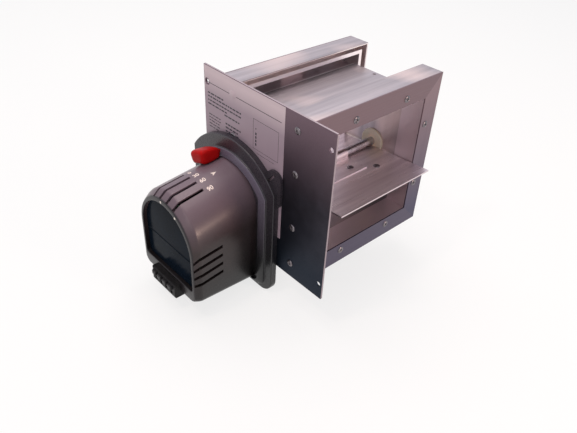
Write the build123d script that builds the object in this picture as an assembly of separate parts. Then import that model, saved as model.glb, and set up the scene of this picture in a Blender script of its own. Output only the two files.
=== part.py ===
"""Volume control damper: a square extruded frame, one blade on a shaft, and a plug-on actuator.

Millimetres. +X runs from the mounting plate into the duct, Y is the air flow, +Z is up.
The origin is the centre of the plate's screw pattern, on the plate's back face.
"""
import os
from math import acos, cos, hypot, pi, radians, sin, sqrt, tan

from build123d import *

# ---- frame ---------------------------------------------------------------------------------
FRAME = 152.0            # outside width and height of the square frame
DEPTH = 107.0            # size along the air flow
WALL = 1.2               # extrusion wall
FLANGE = 19.0            # height of the end flanges
CHAMBER = 22.0           # how far each end chamber runs along the air flow
WEB_DROP = 1.5           # the web sits this far outside the chambers' inner walls
RIB_IN = 8.7             # key rib, out from the chamber's inner wall
RIB_HOOK = 3.4           # height of the hook on the key rib
RIB_SHORT = 1.5          # the rib stops this far inside the lip's edge
KEY_T = 2.4              # corner key plate
KEY_ARM = 52.0           # length of a key's arm
RIVET_OFFSET = 30.5      # flange rivets, each side of the middle
RIVET_IN = 12.2          # flange rivets, in from the outside of the frame
RIVET_R = 1.6
RIVET_HEAD_R = 3.2
RIVET_HEAD_T = 0.9
CLEAR = 0.05             # fit of a fastener in its hole
# ---- plate and label -----------------------------------------------------------------------
PLATE = 155.0
PLATE_T = 1.5
SCREW_Y = 146.0          # spacing of the four duct screws
SCREW_Z = 126.0
SCREW_R = 2.2
PLATE_RIVET_IN = 7.0     # from the recess's edge to the plate rivets
PLATE_SCREW_GAP = 3.5    # from the recess's edge to the nearest base screw
PLATE_RIVET_Z = (63.5, 25.7, -25.7, -63.5)
LABEL_T = 0.15
LABEL_Y = (-24.7, 76.8)
LABEL_Z = (-45.6, 76.8)
# ---- blade and shaft -----------------------------------------------------------------------
SHAFT_Y, SHAFT_Z = -3.0, -6.0
SHAFT_R = 4.0
SHAFT_END = 139.5
FLAT = 3.0               # the drive flat's distance from the shaft's axis
BLADE_T = 1.2
BLADE_NEAR, BLADE_FAR = 68.4, 52.7
BLADE_SIDE = 0.8         # gap at each end of the blade
TILT = -3.9              # the blade's angle as stored, about +X
SADDLE_T = 1.0
SADDLE_X = (22.0, 95.0)
SADDLE_Y = (-28.0, 14.0)
BEARING_R = 12.5
BEARING_T = 1.6
HUB_R = 6.5
HUB_OUT = 2.4            # how far the hub stands out behind the web
RUN = 0.05               # running clearance on radius
# ---- actuator: distances d are measured out from the plate's front face ---------------------
BASE_Y, BASE_Z = 34.0, -41.0
BASE_HALF, BASE_LOW, BASE_CORNER = 55.5, -110.0, 14.0
PAN_WALL = 1.8
GEAR_ROOM = 0.3          # from the drive gear's tips to the pan's wall
PAN_FLOOR = 1.2
PAN_TOP = 4.4
COVER_TOP = 5.9
COLLAR_TOP = 8.6
COLLAR_OUT = (56.0, 46.5, -107.0, 10.0)
COLLAR_IN = (50.3, 39.6, -104.2, 7.0)
SHELL_T = 2.2
FRONT = 76.0             # front rim of the housing
SHOULDER = 70.0          # where the rounded nose starts
# the housing's outline as (Y and Z of the arc's centre, its radius, the bottom's Z)
SHELL_REAR = (36.0, -30.0, 36.5, -103.0)
SHELL_SHOULDER = (32.2, -38.7, 39.5, -88.5)
SHELL_NOSE = (33.2, -43.8, 38.2, -86.5)
SHELL_CORNER = 6.0
NOSE_CORNER = 5.0
PANEL_Y, PANEL_Z, PANEL_R, PANEL_LOW = 33.5, -45.0, 35.6, -84.0
PANEL_SINK = 3.8         # panel's face below the front rim
PANEL_THICK = 2.0
GAP = 0.3                # between pieces that move past each other
TERM_Y = (16.0, 52.0)
TERM_Z = (-96.0, -82.0)
TERM_D = (60.0, 82.0)
BUTTONS = 4
BUTTON_PITCH = 8.0
BUTTON_W, BUTTON_H, BUTTON_L = 5.0, 4.0, 9.0
BUTTON_OUT = 2.6
# ---- gears ---------------------------------------------------------------------------------
MODULE = 1.0
PRESSURE = radians(20)
ADDENDUM = 0.9
DEDENDUM = 1.2
BACKLASH = 0.14
FLANK_STEPS = 3
DRIVE_TEETH, IDLER_TEETH, PINION_TEETH, WHEEL_TEETH, MOTOR_TEETH = 28, 20, 12, 42, 12
GEAR_D = (1.75, 4.05)    # layer inside the base pan
WHEEL_D = (6.7, 9.1)     # layer above the cover
AXLE_R = 1.5
LINE_ANGLE = radians(-44.2)      # the line of the lower gears, from +Y
MOTOR_ANGLE = radians(-56.6)     # from the reduction gear to the motor
MOTOR_R = 18.0
MOTOR_D = (12.4, 38.0)
MOUNT_D = (11.0, 12.4)

HALF = FRAME / 2
MID_X = HALF
INNER = HALF - FLANGE                   # half the clear opening
WEB_IN = INNER + WEB_DROP
WEB_OUT = WEB_IN + WALL
FACE_Y = DEPTH / 2
CHAMBER_Y = FACE_Y - CHAMBER            # the recess's edge
PLATE_RIVET_Y = CHAMBER_Y + PLATE_RIVET_IN
RIB_N = INNER + WALL + RIB_IN
BLADE_X = (MID_X - INNER + BLADE_SIDE, MID_X + INNER - BLADE_SIDE)
OUT_X = -PLATE_T
GEAR_TIP = MODULE * (DRIVE_TEETH / 2 + ADDENDUM)
BASE_R = hypot(BASE_Y - SHAFT_Y, BASE_Z - SHAFT_Z) + GEAR_TIP + GEAR_ROOM + PAN_WALL
PANEL_D = (FRONT - PANEL_SINK - PANEL_THICK, FRONT - PANEL_SINK)


def at(d):
    """X of a plane that lies d in front of the plate."""
    return OUT_X - d


def prism(face, x0, x1):
    """Extrude a face drawn in (Y, Z) between two X planes."""
    low, high = min(x0, x1), max(x0, x1)
    return extrude(Plane.YZ.offset(low) * face, high - low)


def slab(face, d0, d1):
    """Extrude a face drawn in (Y, Z) between two distances from the plate's front."""
    return prism(face, at(d0), at(d1))


def rect(u0, u1, v0, v1):
    """A rectangle from its edges."""
    return Pos((u0 + u1) / 2, (v0 + v1) / 2) * Rectangle(abs(u1 - u0), abs(v1 - v0))


def disc(u, v, r):
    """A circle at a point."""
    return Pos(u, v) * Circle(r)


def save(shape, node):
    """Write one node."""
    export_step(shape, f"parts/{node}.step")


# ---- frame ---------------------------------------------------------------------------------
def member_profile():
    """Section of a side member: Y along the air flow, second axis outwards from the middle."""
    web = rect(-CHAMBER_Y - WALL, CHAMBER_Y + WALL, WEB_IN, WEB_OUT)
    section = web
    for side in (-1, 1):
        face = side * FACE_Y
        edge = side * CHAMBER_Y
        rib_end = edge + side * RIB_SHORT
        section += rect(face, face - side * WALL, INNER, HALF)
        section += rect(face, edge, HALF - WALL, HALF)
        section += rect(face, edge, INNER, INNER + WALL)
        section += rect(edge, edge + side * WALL, INNER, WEB_OUT)
        section += rect(face, rib_end, RIB_N, RIB_N + WALL)
        section += rect(rib_end, rib_end + side * WALL, RIB_N, RIB_N + RIB_HOOK)
    return section


def member():
    """The top member, mitred at both ends, about the frame's own middle."""
    bar = Pos(-HALF, 0, 0) * extrude(Plane.YZ * member_profile(), FRAME)
    deep = INNER - 4
    wedge = Plane.XZ * Polygon((-HALF, HALF), (HALF, HALF), (deep, deep), (-deep, deep), align=None)
    bar &= extrude(wedge, FACE_Y + 1, both=True)
    for s in (-RIVET_OFFSET, RIVET_OFFSET):
        hole = Pos(s, 0, HALF - RIVET_IN) * Rot(90, 0, 0) * Cylinder(RIVET_R + CLEAR, DEPTH + 2)
        bar -= hole
    return bar


def placed(shape, turn):
    """Turn a piece about the duct's own axis and move it to the frame's middle."""
    return Pos(MID_X, 0, 0) * Rot(0, turn, 0) * shape


def shaft_hole(radius):
    """A cutter along the shaft."""
    return prism(disc(SHAFT_Y, SHAFT_Z, radius), -30, SHAFT_END + 10)


def frame_members():
    """Four mitred members; the two side ones hold the bearings."""
    top = placed(member(), 0)
    drain = Pos(MID_X + INNER - 1.5, 3.3, WEB_OUT) * Cylinder(1.6, 8)
    save(top - drain, "frame_top")
    right = placed(member(), 90) - shaft_hole(HUB_R + CLEAR)
    save(right, "frame_right")
    save(placed(member(), 180), "frame_bottom")
    left = placed(member(), 270) - shaft_hole(HUB_R + CLEAR)
    for y in (-PLATE_RIVET_Y, PLATE_RIVET_Y):
        for z in PLATE_RIVET_Z:
            left -= prism(disc(y, z, RIVET_R + CLEAR), -1, 3)
    save(left, "frame_left")


def corner_key(side):
    """An L plate that lies in the chambers behind one end flange, top right corner."""
    y0 = side * (FACE_Y - WALL)
    y1 = y0 - side * KEY_T
    low = INNER + WALL + 0.3
    high = RIB_N - 0.3
    outer = Polygon((high, high), (high - KEY_ARM, high), (high - KEY_ARM, low), (low, low),
                    (low, high - KEY_ARM), (high, high - KEY_ARM), align=None)
    plate = extrude(Plane.XZ * outer, -(y1 - y0))
    plate = Pos(0, y0, 0) * plate
    for x, z in ((RIVET_OFFSET, HALF - RIVET_IN), (HALF - RIVET_IN, RIVET_OFFSET)):
        plate -= Pos(x, (y0 + y1) / 2, z) * Rot(90, 0, 0) * Cylinder(RIVET_R + CLEAR, 3 * KEY_T)
    return plate


def corner_keys():
    """Eight keys, one behind each end of each mitre."""
    keys = [placed(corner_key(side), turn) for side in (-1, 1) for turn in (0, 90, 180, 270)]
    save(Compound(children=keys), "corner_keys")


def blind_rivet(grip):
    """A blind rivet along +Z: domed ring head on Z = 0, sleeve through the grip, bulb behind."""
    head = Pos(0, 0, RIVET_HEAD_T / 2) * Cone(RIVET_HEAD_R, RIVET_HEAD_R * 0.62, RIVET_HEAD_T)
    sleeve = Pos(0, 0, -grip / 2) * Cylinder(RIVET_R, grip)
    bulb = Pos(0, 0, -grip - 0.7) * Cone(RIVET_R * 0.8, RIVET_R * 1.35, 1.4)
    pocket = Pos(0, 0, RIVET_HEAD_T - 0.25) * Cylinder(RIVET_R * 0.62, 0.8)
    return head + sleeve + bulb - pocket


def flange_rivets():
    """Two rivets in each end flange of each member."""
    rivets = []
    for turn in (0, 90, 180, 270):
        for s in (-RIVET_OFFSET, RIVET_OFFSET):
            for side in (-1, 1):
                spot = Pos(s, side * FACE_Y, HALF - RIVET_IN) * Rot(-90 * side, 0, 0)
                rivets.append(placed(spot * blind_rivet(WALL + KEY_T), turn))
    save(Compound(children=rivets), "flange_rivets")


# ---- plate ---------------------------------------------------------------------------------
BASE_SCREW_Y = CHAMBER_Y - PLATE_SCREW_GAP
BASE_SCREWS = ((BASE_SCREW_Y - 4.0, 14.0), (-12.0, -48.0), (BASE_SCREW_Y, -66.0))


def mounting_plate():
    """Square cover plate with duct screw holes, rivet holes and the shaft's hole."""
    face = Rectangle(PLATE, PLATE)
    face = fillet(face.vertices(), 1.0)
    for y in (-SCREW_Y / 2, SCREW_Y / 2):
        for z in (-SCREW_Z / 2, SCREW_Z / 2):
            face -= disc(y, z, SCREW_R)
    for y in (-PLATE_RIVET_Y, PLATE_RIVET_Y):
        for z in PLATE_RIVET_Z:
            face -= disc(y, z, RIVET_R + CLEAR)
    for y, z in BASE_SCREWS:
        face -= disc(y, z, AXLE_R + CLEAR)
    face -= disc(SHAFT_Y, SHAFT_Z, SHAFT_R + 1)
    save(prism(face, OUT_X, 0), "mounting_plate")


def plate_rivets():
    """Rivets that hold the plate to the near side member."""
    rivets = []
    for y in (-PLATE_RIVET_Y, PLATE_RIVET_Y):
        for z in PLATE_RIVET_Z:
            rivets.append(Pos(OUT_X, y, z) * Rot(0, -90, 0) * blind_rivet(PLATE_T + WALL))
    save(Compound(children=rivets), "plate_rivets")


def data_label():
    """Sheet on the plate, cut out round rivets, screws and shaft."""
    sheet = rect(*LABEL_Y, *LABEL_Z)
    sheet -= disc(SHAFT_Y, SHAFT_Z, SHAFT_R + 1.5)
    for z in PLATE_RIVET_Z:
        if z > LABEL_Z[0]:
            sheet -= disc(PLATE_RIVET_Y, z, RIVET_HEAD_R + 0.3)
    sheet -= disc(SCREW_Y / 2, SCREW_Z / 2, SCREW_R + 1)
    for y, z in BASE_SCREWS:
        sheet -= disc(y, z, AXLE_R + CLEAR)
    save(slab(sheet, 0, LABEL_T), "data_label")


# ---- blade ---------------------------------------------------------------------------------
def on_shaft(shape):
    """Move a piece drawn about the shaft's axis to its place, turned to the stored tilt."""
    return Pos(0, SHAFT_Y, SHAFT_Z) * Rot(TILT, 0, 0) * shape


def drive_section(radius, flat):
    """A round section with one flat."""
    return Circle(radius) - rect(-radius, radius, flat, radius + 1)


def blade_shaft():
    """Round shaft with a drive flat at the actuator's end."""
    tail = prism(Circle(SHAFT_R), at(0), SHAFT_END)
    drive = prism(drive_section(SHAFT_R, FLAT), at(GEAR_D[1]), at(0))
    shaft = tail + drive
    tip = shaft.edges().group_by(Axis.X)[-1]
    save(on_shaft(chamfer(tip, 0.6)), "blade_shaft")


BLADE_RIVETS = ((34.0, -19.0), (83.0, -19.0), (34.0, 9.6), (83.0, 9.6))
TIP_RIVET = (104.0, -32.0)


def blade():
    """Flat sheet under the shaft."""
    sheet = prism(rect(-BLADE_NEAR, BLADE_FAR, -SHAFT_R - BLADE_T, -SHAFT_R), *BLADE_X)
    for x, y in BLADE_RIVETS + (TIP_RIVET,):
        sheet -= Pos(x, y, -SHAFT_R) * Cylinder(RIVET_R + CLEAR, 6)
    save(on_shaft(sheet), "blade")


def shaft_saddle():
    """Formed strap that clamps the shaft on the blade."""
    r_out = SHAFT_R + SADDLE_T
    hat = Circle(r_out) + rect(-r_out, r_out, -SHAFT_R, 0)
    hat += rect(*SADDLE_Y, -SHAFT_R, -SHAFT_R + SADDLE_T)
    hat -= rect(-r_out - 3, r_out + 3, -r_out - 2, -SHAFT_R)
    hat -= Circle(SHAFT_R) + rect(-SHAFT_R, SHAFT_R, -SHAFT_R - 1, 0)
    strap = prism(hat, *SADDLE_X)
    for x, y in BLADE_RIVETS:
        strap -= Pos(x, y, -SHAFT_R) * Cylinder(RIVET_R + CLEAR, 6)
    save(on_shaft(strap), "shaft_saddle")


def blade_rivets():
    """Rivets through the strap, and one through the blade alone."""
    rivets = []
    for x, y in BLADE_RIVETS:
        rivets.append(Pos(x, y, -SHAFT_R + SADDLE_T) * blind_rivet(SADDLE_T + BLADE_T))
    rivets.append(Pos(*TIP_RIVET, -SHAFT_R) * blind_rivet(BLADE_T))
    save(on_shaft(Compound(children=rivets)), "blade_rivets")


def bearing(face_x, outward):
    """Flanged plain bearing seated on a web; outward is +1 or -1 along X."""
    flange = prism(Circle(BEARING_R), face_x, face_x - outward * BEARING_T)
    rim = flange.edges().group_by(Axis.X)[0 if outward > 0 else -1]
    flange = chamfer(rim, 0.5)
    hub = prism(Circle(HUB_R), face_x, face_x + outward * (WALL + HUB_OUT))
    body = Pos(0, SHAFT_Y, SHAFT_Z) * (flange + hub)
    return body - shaft_hole(SHAFT_R + RUN)


def bearings():
    """One bearing in each side member."""
    save(bearing(MID_X + WEB_IN, 1), "bearing_far")
    save(bearing(MID_X - WEB_IN, -1), "bearing_near")


# ---- actuator base -------------------------------------------------------------------------
def tombstone(y, z, r, half, low, corner):
    """A face in (Y, Z): arc of radius r about (y, z), cut to straight sides, flat bottom."""
    join = z + sqrt(max(r * r - half * half, 0.0))
    left, right = y - half, y + half
    arc = ThreePointArc((left, join), (y, z + r), (right, join))
    sides = Polyline((right, join), (right, low), (left, low), (left, join))
    face = make_face(arc.edges() + sides.edges())
    return fillet(face.vertices().group_by(Axis.Y)[0], corner)


def base_outline(inset):
    """The base's outline, moved in by inset."""
    return tombstone(BASE_Y, BASE_Z, BASE_R - inset, BASE_HALF - inset, BASE_LOW + inset,
                     BASE_CORNER - inset)


def polar(r, angle):
    """A point at radius r from the base's centre; the angle runs from +Z towards +Y."""
    a = radians(angle)
    return (BASE_Y + r * sin(a), BASE_Z + r * cos(a))


def sector(r0, r1, a0, a1):
    """An arc-shaped face about the base's centre, between two radii and two angles."""
    mid = (a0 + a1) / 2
    outer = ThreePointArc(polar(r1, a0), polar(r1, mid), polar(r1, a1))
    inner = ThreePointArc(polar(r0, a1), polar(r0, mid), polar(r0, a0))
    ends = [Line(polar(r1, a1), polar(r0, a1)), Line(polar(r0, a0), polar(r1, a0))]
    return make_face([outer.edge(), ends[0].edge(), inner.edge(), ends[1].edge()])


DRIVE = (SHAFT_Y, SHAFT_Z)
IDLER_OFF = MODULE * (DRIVE_TEETH + IDLER_TEETH) / 2
PINION_OFF = IDLER_OFF + MODULE * (IDLER_TEETH + PINION_TEETH) / 2
IDLER = (SHAFT_Y + IDLER_OFF * cos(LINE_ANGLE), SHAFT_Z + IDLER_OFF * sin(LINE_ANGLE))
REDUCER = (SHAFT_Y + PINION_OFF * cos(LINE_ANGLE), SHAFT_Z + PINION_OFF * sin(LINE_ANGLE))
MOTOR_OFF = MODULE * (WHEEL_TEETH + MOTOR_TEETH) / 2
MOTOR = (REDUCER[0] + MOTOR_OFF * cos(MOTOR_ANGLE), REDUCER[1] + MOTOR_OFF * sin(MOTOR_ANGLE))
COVER_SCREWS = ((62.0, -30.0), (6.0, -70.0), (56.0, -91.0))
STANDOFFS = ((57.0, -22.0), (15.0, -76.0), (57.0, -80.0))
LATCH_TRAVEL = 8.0
LATCH_A = (5.0, 43.0)
LATCH_FOOT = (14.0, 33.0)
LATCH_R = (48.9, 59.5)
FOOT_R = (51.6, 54.4)
LATCH_D = (8.9, 20.0)


def base_pan():
    """Shallow tray that carries the lower gears, with a slotted lug at its near shoulder."""
    pan = slab(base_outline(0), LABEL_T, PAN_TOP)
    pan -= slab(base_outline(PAN_WALL), LABEL_T + PAN_FLOOR, PAN_TOP + 1)
    lug = fillet(rect(-25.5, -8, -16, 19).vertices(), 8)
    keep = tombstone(BASE_Y, BASE_Z, BASE_R - PAN_WALL, BASE_HALF - PAN_WALL, BASE_LOW + 4, 8)
    lug_solid = slab(lug - keep, LABEL_T, LABEL_T + 2.4)
    slot = Pos(-12.5, 9.5) * Rot(0, 0, -50) * Rectangle(13, 2.4)
    pan += lug_solid
    pan -= slab(slot, 0, PAN_TOP + 1)
    for y, z in COVER_SCREWS:
        pan += slab(disc(y, z, 3.2), LABEL_T, PAN_TOP)
        pan -= slab(disc(y, z, 1.2), LABEL_T + 0.6, PAN_TOP + 1)
    for y, z in (IDLER, REDUCER):
        pan += slab(disc(y, z, 2.6), LABEL_T, GEAR_D[0] - 0.1)
        pan -= slab(disc(y, z, AXLE_R), LABEL_T + 0.4, PAN_TOP)
    for y, z in BASE_SCREWS:
        pan -= slab(disc(y, z, AXLE_R + CLEAR), 0, PAN_TOP)
    pan -= slab(disc(*DRIVE, SHAFT_R + 0.5), 0, PAN_TOP)
    for z in PLATE_RIVET_Z:
        pan -= slab(disc(PLATE_RIVET_Y, z, RIVET_HEAD_R + 0.4), 0, LABEL_T + PAN_FLOOR)
    save(pan, "base_pan")


def latch_slot(grow):
    """Arc slot that the latch's foot runs in."""
    end = GAP / FOOT_R[0] * 180 / pi
    return sector(FOOT_R[0] - grow, FOOT_R[1] + grow, LATCH_FOOT[0] - end,
                  LATCH_FOOT[1] + LATCH_TRAVEL + end)


def base_cover():
    """Cover plate with the raised collar that the housing plugs into."""
    cover = slab(base_outline(0), PAN_TOP, COVER_TOP)
    outer = tombstone(BASE_Y, BASE_Z, *COLLAR_OUT)
    inner = tombstone(BASE_Y, BASE_Z, *COLLAR_IN)
    cover += slab(outer - inner, COVER_TOP, COLLAR_TOP)
    cover -= slab(latch_slot(GAP), 0, COLLAR_TOP + 1)
    cover -= slab(disc(*REDUCER, 4.6), 0, COVER_TOP + 1)
    cover -= slab(disc(*IDLER, AXLE_R), 0, COVER_TOP + 1)
    for y, z in COVER_SCREWS:
        cover -= slab(disc(y, z, 1.5), 0, COVER_TOP + 1)
    for y, z in STANDOFFS:
        cover += slab(disc(y, z, 3.0), COVER_TOP, MOUNT_D[0])
        cover -= slab(disc(y, z, 1.2), COVER_TOP + 0.5, MOUNT_D[0] + 1)
    save(cover, "base_cover")


def pan_screw(y, z, d_head, length, r, head_r, head_t):
    """Cheese-head screw that points at the plate; its head sits on the plane d_head."""
    screw = slab(disc(y, z, r), d_head - length, d_head)
    screw += slab(disc(y, z, head_r), d_head, d_head + head_t)
    slot = Pos(y, z) * Rectangle(2 * head_r + 1, 0.7)
    return screw - slab(slot, d_head + head_t * 0.5, d_head + head_t + 1)


def screws():
    """Three groups of screws: base to plate, cover to pan, motor plate to cover."""
    floor = LABEL_T + PAN_FLOOR
    base = [pan_screw(y, z, floor, floor + PLATE_T + 2, AXLE_R, 3.0, 1.6) for y, z in BASE_SCREWS]
    save(Compound(children=base), "base_screws")
    cover = [pan_screw(y, z, COVER_TOP, COVER_TOP - 1.2, 1.2, 2.4, 1.4) for y, z in COVER_SCREWS]
    save(Compound(children=cover), "cover_screws")
    motor = [pan_screw(y, z, MOUNT_D[1], 5.5, 1.2, 2.3, 1.3) for y, z in STANDOFFS]
    save(Compound(children=motor), "motor_screws")


# ---- release latch -------------------------------------------------------------------------
def release_latch():
    """Curved thumb latch in front of the collar, with a hooked foot in the arc slot."""
    grip = slab(sector(*LATCH_R, *LATCH_A), *LATCH_D)
    long_edges = grip.edges().filter_by(Axis.X)
    grip = fillet(long_edges, 2.5)
    front = grip.faces().sort_by(Axis.X)[0].edges()
    grip = fillet(front, 1.8)
    foot = slab(sector(*FOOT_R, *LATCH_FOOT), 2.2, LATCH_D[0] + 1)
    hook = slab(sector(FOOT_R[0] - 1.6, FOOT_R[1] + 1.6, *LATCH_FOOT), 2.2, PAN_TOP - GAP)
    save(grip + foot + hook, "release_latch")


# ---- gear teeth ----------------------------------------------------------------------------
def involute(angle):
    """The involute function."""
    return tan(angle) - angle


def flank_half_angle(teeth, r):
    """Half the angle that a tooth fills at radius r."""
    pitch = MODULE * teeth / 2
    base = pitch * cos(PRESSURE)
    at_pitch = pi / (2 * teeth) - BACKLASH / (2 * pitch)
    ratio = min(base / r, 1.0)
    return at_pitch + involute(PRESSURE) - involute(acos(ratio))


def gear_face(teeth, phase):
    """Spur gear outline about the origin; one tooth's middle points along phase."""
    pitch = MODULE * teeth / 2
    base = pitch * cos(PRESSURE)
    tip = pitch + ADDENDUM * MODULE
    root = pitch - DEDENDUM * MODULE
    start = max(base, root + 0.15)
    radii = [start + (tip - start) * k / FLANK_STEPS for k in range(FLANK_STEPS + 1)]
    points = []
    for tooth in range(teeth):
        middle = phase + 2 * pi * tooth / teeth
        rising = [(root, -flank_half_angle(teeth, start) - 0.02)]
        rising += [(r, -flank_half_angle(teeth, r)) for r in radii]
        falling = [(r, -a) for r, a in reversed(rising)]
        for r, a in rising + falling:
            points.append((r * cos(middle + a), r * sin(middle + a)))
    return make_face(Polyline(*points, close=True).edges())


def mesh_phase(teeth, direction, other_phase, other_teeth):
    """Phase of a gear so that its gap meets the tooth of the gear behind it.

    direction is the angle from the other gear to this one.
    """
    offset = (other_phase - direction) * other_teeth
    return direction + pi + pi / teeth - offset / teeth


DRIVE_PHASE = 0.0
IDLER_PHASE = mesh_phase(IDLER_TEETH, LINE_ANGLE, DRIVE_PHASE, DRIVE_TEETH)
PINION_PHASE = mesh_phase(PINION_TEETH, LINE_ANGLE, IDLER_PHASE, IDLER_TEETH)
WHEEL_PHASE = 0.0
MOTOR_PHASE = mesh_phase(MOTOR_TEETH, MOTOR_ANGLE, WHEEL_PHASE, WHEEL_TEETH)


def gears():
    """Drive gear, idler, two-step reducer and the motor's pinion."""
    drive = slab(Pos(*DRIVE) * gear_face(DRIVE_TEETH, DRIVE_PHASE), *GEAR_D)
    bore = prism(drive_section(SHAFT_R, FLAT), at(GEAR_D[1]) - 1, at(0))
    save(drive - on_shaft(bore), "drive_gear")
    idler = slab(Pos(*IDLER) * (gear_face(IDLER_TEETH, IDLER_PHASE) - Circle(AXLE_R + RUN)), *GEAR_D)
    save(idler, "idler_gear")
    pinion = slab(Pos(*REDUCER) * gear_face(PINION_TEETH, PINION_PHASE), *GEAR_D)
    hub = slab(disc(*REDUCER, 4.0), GEAR_D[1], WHEEL_D[0])
    wheel = slab(Pos(*REDUCER) * gear_face(WHEEL_TEETH, WHEEL_PHASE), *WHEEL_D)
    for k in range(5):
        a = 2 * pi * k / 5
        wheel -= slab(disc(REDUCER[0] + 12 * cos(a), REDUCER[1] + 12 * sin(a), 4.2), *WHEEL_D)
    reducer = pinion + hub + wheel - slab(disc(*REDUCER, AXLE_R + RUN), 0, WHEEL_D[1] + 1)
    save(reducer, "reduction_gear")
    motor = slab(Pos(*MOTOR) * gear_face(MOTOR_TEETH, MOTOR_PHASE), WHEEL_D[0] - 0.2, WHEEL_D[1] + 0.2)
    motor += slab(disc(*MOTOR, AXLE_R), WHEEL_D[1], MOTOR_D[0] + 8)
    save(motor, "motor_pinion")


def gear_axles():
    """Fixed pins of the idler and of the reducer."""
    short = slab(disc(*IDLER, AXLE_R), LABEL_T + 0.4, COVER_TOP)
    long = slab(disc(*REDUCER, AXLE_R), LABEL_T + 0.4, MOUNT_D[1])
    save(Compound(children=[short, long]), "gear_axles")


# ---- motor and board -----------------------------------------------------------------------
def motor_mount():
    """Steel plate above the wheel that carries the motor."""
    face = fillet(rect(10, 63, -86, -12).vertices(), 9)
    face -= disc(*MOTOR, AXLE_R + 2)
    face -= disc(*REDUCER, AXLE_R)
    for y, z in STANDOFFS:
        face -= disc(y, z, 1.25)
    save(slab(face, *MOUNT_D), "motor_mount")


def motor():
    """Round synchronous motor with a stepped can."""
    can = slab(disc(*MOTOR, MOTOR_R), *MOTOR_D)
    can = fillet(can.edges().group_by(Axis.X)[0], 1.5)
    can -= slab(disc(*MOTOR, AXLE_R + RUN), MOTOR_D[0] - 1, MOTOR_D[0] + 8.5)
    save(can, "motor")


BOARD_D = (57.2, 58.8)
BOARD_POSTS = ((16.0, -26.0), (50.0, -26.0), (16.0, -74.0), (50.0, -74.0))


def circuit_board():
    """Board behind the front panel."""
    face = rect(11, 55, -79, -21)
    for y, z in BOARD_POSTS:
        face -= disc(y, z, 1.5)
    board = slab(face, *BOARD_D)
    parts = rect(20, 34, -50, -38) + rect(38, 46, -62, -46) + rect(22, 28, -68, -58)
    board += slab(parts, BOARD_D[0] - 6, BOARD_D[0])
    save(board, "circuit_board")


# ---- housing -------------------------------------------------------------------------------
def shell_section(d, inset):
    """Outline of the housing at a distance from the plate; it leans as it comes forward."""
    t = (d - COVER_TOP) / (SHOULDER - COVER_TOP)
    y, z, r, low = [a + (b - a) * t for a, b in zip(SHELL_REAR, SHELL_SHOULDER)]
    face = tombstone(y, z, r - inset, r - inset - 0.01, low + inset, SHELL_CORNER - inset)
    return Plane.YZ.offset(at(d)) * face


def nose_section(inset):
    """Outline of the front rim."""
    y, z, r, low = SHELL_NOSE
    face = tombstone(y, z, r - inset, r - inset - 0.01, low + inset, NOSE_CORNER - inset)
    return Plane.YZ.offset(at(FRONT)) * face


VENT_ANGLES = (-21.0, -7.0, 7.0, 21.0)
SIDE_VENTS = (-43.0, -52.0, -61.0, -70.0)
VENT_D = (45.5, 71.5)
VENT_W = 2.8
SIDE_VENT_H = 3.2
VENT_Y, VENT_Z = 33.2, -39.5     # where the top vents' middle lines meet
STATUS = ((35.7, -7.6), (16.0, -12.4))


def housing():
    """Hollow tapered housing with vents, a recess for the panel and a terminal opening."""
    outer = loft([shell_section(COVER_TOP, 0), shell_section(SHOULDER, 0)], ruled=True)
    outer += loft([shell_section(SHOULDER, 0), nose_section(0)], ruled=True)
    inner_end = PANEL_D[0] - SHELL_T
    inner = loft([shell_section(COVER_TOP - 1, SHELL_T), shell_section(inner_end, SHELL_T)], ruled=True)
    shell = outer - inner
    panel = tombstone(PANEL_Y, PANEL_Z, PANEL_R, PANEL_R - 0.01, PANEL_LOW, 3.0)
    shell -= slab(panel, PANEL_D[0], FRONT + 1)
    mid_d = (VENT_D[0] + VENT_D[1]) / 2
    length = VENT_D[1] - VENT_D[0]
    for angle in VENT_ANGLES:
        cutter = Pos(0, 0, SHELL_NOSE[2] + 4) * Box(length, VENT_W, 16)
        shell -= Pos(at(mid_d), VENT_Y, VENT_Z) * Rot(angle, 0, 0) * cutter
    for z in SIDE_VENTS:
        cutter = Box(length, 3 * SHELL_SHOULDER[2], SIDE_VENT_H)
        shell -= Pos(at(mid_d), SHELL_SHOULDER[0], z) * cutter
    mouth = rect(TERM_Y[0] - GAP, TERM_Y[1] + GAP, BASE_LOW, TERM_Z[1] + GAP)
    shell -= slab(mouth, TERM_D[0] - GAP, FRONT + 2)
    for y, z in BOARD_POSTS:
        shell += slab(disc(y, z, 3.0), BOARD_D[1], inner_end + 0.5)
        shell += slab(disc(y, z, 1.5), BOARD_D[0] - 0.6, BOARD_D[1])
    for y, z in STATUS:
        shell -= slab(disc(y, z, 1.1), FRONT - 4, FRONT + 1)
    save(shell, "housing")


def front_panel():
    """Dark window that fills the front recess, with one raised bar across it."""
    face = tombstone(PANEL_Y, PANEL_Z, PANEL_R - 0.1, PANEL_R - 0.11, PANEL_LOW + 0.1, 2.9)
    face -= rect(TERM_Y[0] - GAP, TERM_Y[1] + GAP, -120, TERM_Z[1] + GAP)
    panel = slab(face, *PANEL_D)
    bar = rect(PANEL_Y - 30, PANEL_Y + 30, -58.4, -57.2)
    panel += slab(bar, PANEL_D[1], PANEL_D[1] + 0.5)
    save(panel, "front_panel")


def status_lenses():
    """Two small light windows in the front rim."""
    lenses = [slab(disc(y, z, 1.05), FRONT - 4, FRONT + 0.3) for y, z in STATUS]
    save(Compound(children=lenses), "status_lenses")


# ---- terminals -----------------------------------------------------------------------------
def button_y(index):
    """Y of a terminal's button."""
    middle = (TERM_Y[0] + TERM_Y[1]) / 2
    return middle + (index - (BUTTONS - 1) / 2) * BUTTON_PITCH


BUTTON_Z = -85.4
WIRE_Z = -92.0


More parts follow.
